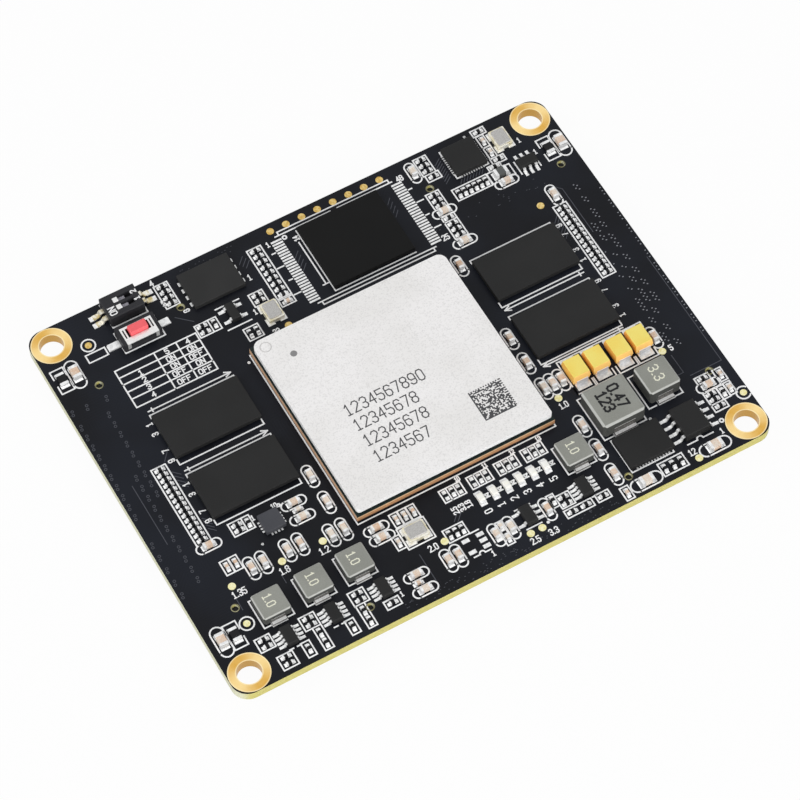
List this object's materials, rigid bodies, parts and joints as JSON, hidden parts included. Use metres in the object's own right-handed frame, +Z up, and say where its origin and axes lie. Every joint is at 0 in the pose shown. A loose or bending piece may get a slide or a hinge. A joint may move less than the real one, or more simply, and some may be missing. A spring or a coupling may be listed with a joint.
{
  "type": "system on module",
  "caption": "Black system on module circuit board with a lidded processor, memory and power chips, chokes, a slide switch and a reset button, and mezzanine connectors below.",
  "frame": {"origin": "under the middle of the board, at the mating ends of the connectors", "axes": "+X along the board's long side, +Y along its short side towards the slide switch, +Z up out of the parts' side"},
  "size_m": [0.0834, 0.0648, 0.0078],
  "materials": {
    "solder_mask": "satin black solder mask over laminate",
    "gold": "gold plated copper",
    "tin": "tinned copper",
    "solder": "soldered balls",
    "substrate": "build-up substrate with a green top and copper-brown edges",
    "silicon": "silicon die",
    "lid_metal": "nickel plated, fine matt",
    "chip_black": "moulded, fine matt",
    "chip_grey": "moulded, fine matt",
    "choke_grey": "pressed iron powder, lacquered",
    "tantalum_yellow": "moulded",
    "resistor_black": "lacquered",
    "capacitor_beige": "fired ceramic",
    "ferrite": "fired ferrite",
    "led_white": "moulded",
    "led_lens": "clear cast, milky",
    "oscillator_gold": "ceramic with gold plated rim",
    "oscillator_lid": "welded lid",
    "switch_black": "moulded",
    "slider_white": "moulded",
    "dome_metal": "sprung",
    "cover_metal": "tin plated, pressed",
    "button_red": "moulded",
    "connector_black": "moulded",
    "contact_gold": "gold plated"
  },
  "bodies": {
    "module": {"circuit_board": "solder_mask", "hole_plating": "gold", "gold_pads": "gold", "solder_lands": "tin", "processor_balls": "solder", "processor_substrate": "substrate", "processor_die": "silicon", "processor_lid": "lid_metal", "memory_chip_1": "chip_black", "memory_chip_2": "chip_black", "memory_chip_3": "chip_black", "memory_chip_4": "chip_black", "memory_balls": "solder", "storage_chip": "chip_black", "storage_balls": "solder", "boot_flash": "chip_grey", "interface_chip": "chip_black", "clock_chip": "chip_grey", "power_stage_chip": "chip_black", "load_switch_chip": "chip_black", "buck_regulators": "chip_black", "supervisor_chip": "chip_black", "linear_regulator_chip": "chip_black", "surge_protector_chip": "chip_black", "chip_leads": "tin", "choke_1": "choke_grey", "choke_2": "choke_grey", "choke_3": "choke_grey", "choke_4": "choke_grey", "core_supply_choke": "choke_grey", "input_supply_choke": "choke_grey", "choke_terminals": "tin", "tantalum_1": "tantalum_yellow", "tantalum_2": "tantalum_yellow", "tantalum_3": "tantalum_yellow", "tantalum_4": "tantalum_yellow", "tantalum_terminals": "tin", "resistor_bodies": "resistor_black", "capacitor_bodies": "capacitor_beige", "ferrite_bead": "ferrite", "chip_end_caps": "tin", "led_bases": "led_white", "led_lenses": "led_lens", "oscillator_bases": "oscillator_gold", "oscillator_lids": "oscillator_lid", "dip_housing": "switch_black", "dip_terminals": "tin", "reset_base": "switch_black", "reset_dome": "dome_metal", "reset_cover": "cover_metal", "reset_terminals": "tin", "connector_housing_1": "connector_black", "connector_housing_2": "connector_black", "connector_housing_3": "connector_black", "connector_housing_4": "connector_black", "connector_contacts": "contact_gold"},
    "reset_button": {"reset_button": "button_red"},
    "dip_slider_1": {"dip_slider_1": "slider_white"},
    "dip_slider_2": {"dip_slider_2": "slider_white"}
  },
  "joints": [
    {"name": "reset_press", "type": "slide", "parent": "module", "child": "reset_button", "axis": [0, 0, -1], "range_m": [0, 0.00025], "stiffness_N_per_m": 4000},
    {"name": "dip_slide_1", "type": "slide", "parent": "module", "child": "dip_slider_1", "axis": [1, 0, 0], "range_m": [0, 0.0009]},
    {"name": "dip_slide_2", "type": "slide", "parent": "module", "child": "dip_slider_2", "axis": [1, 0, 0], "range_m": [0, 0.0009]}
  ]
}
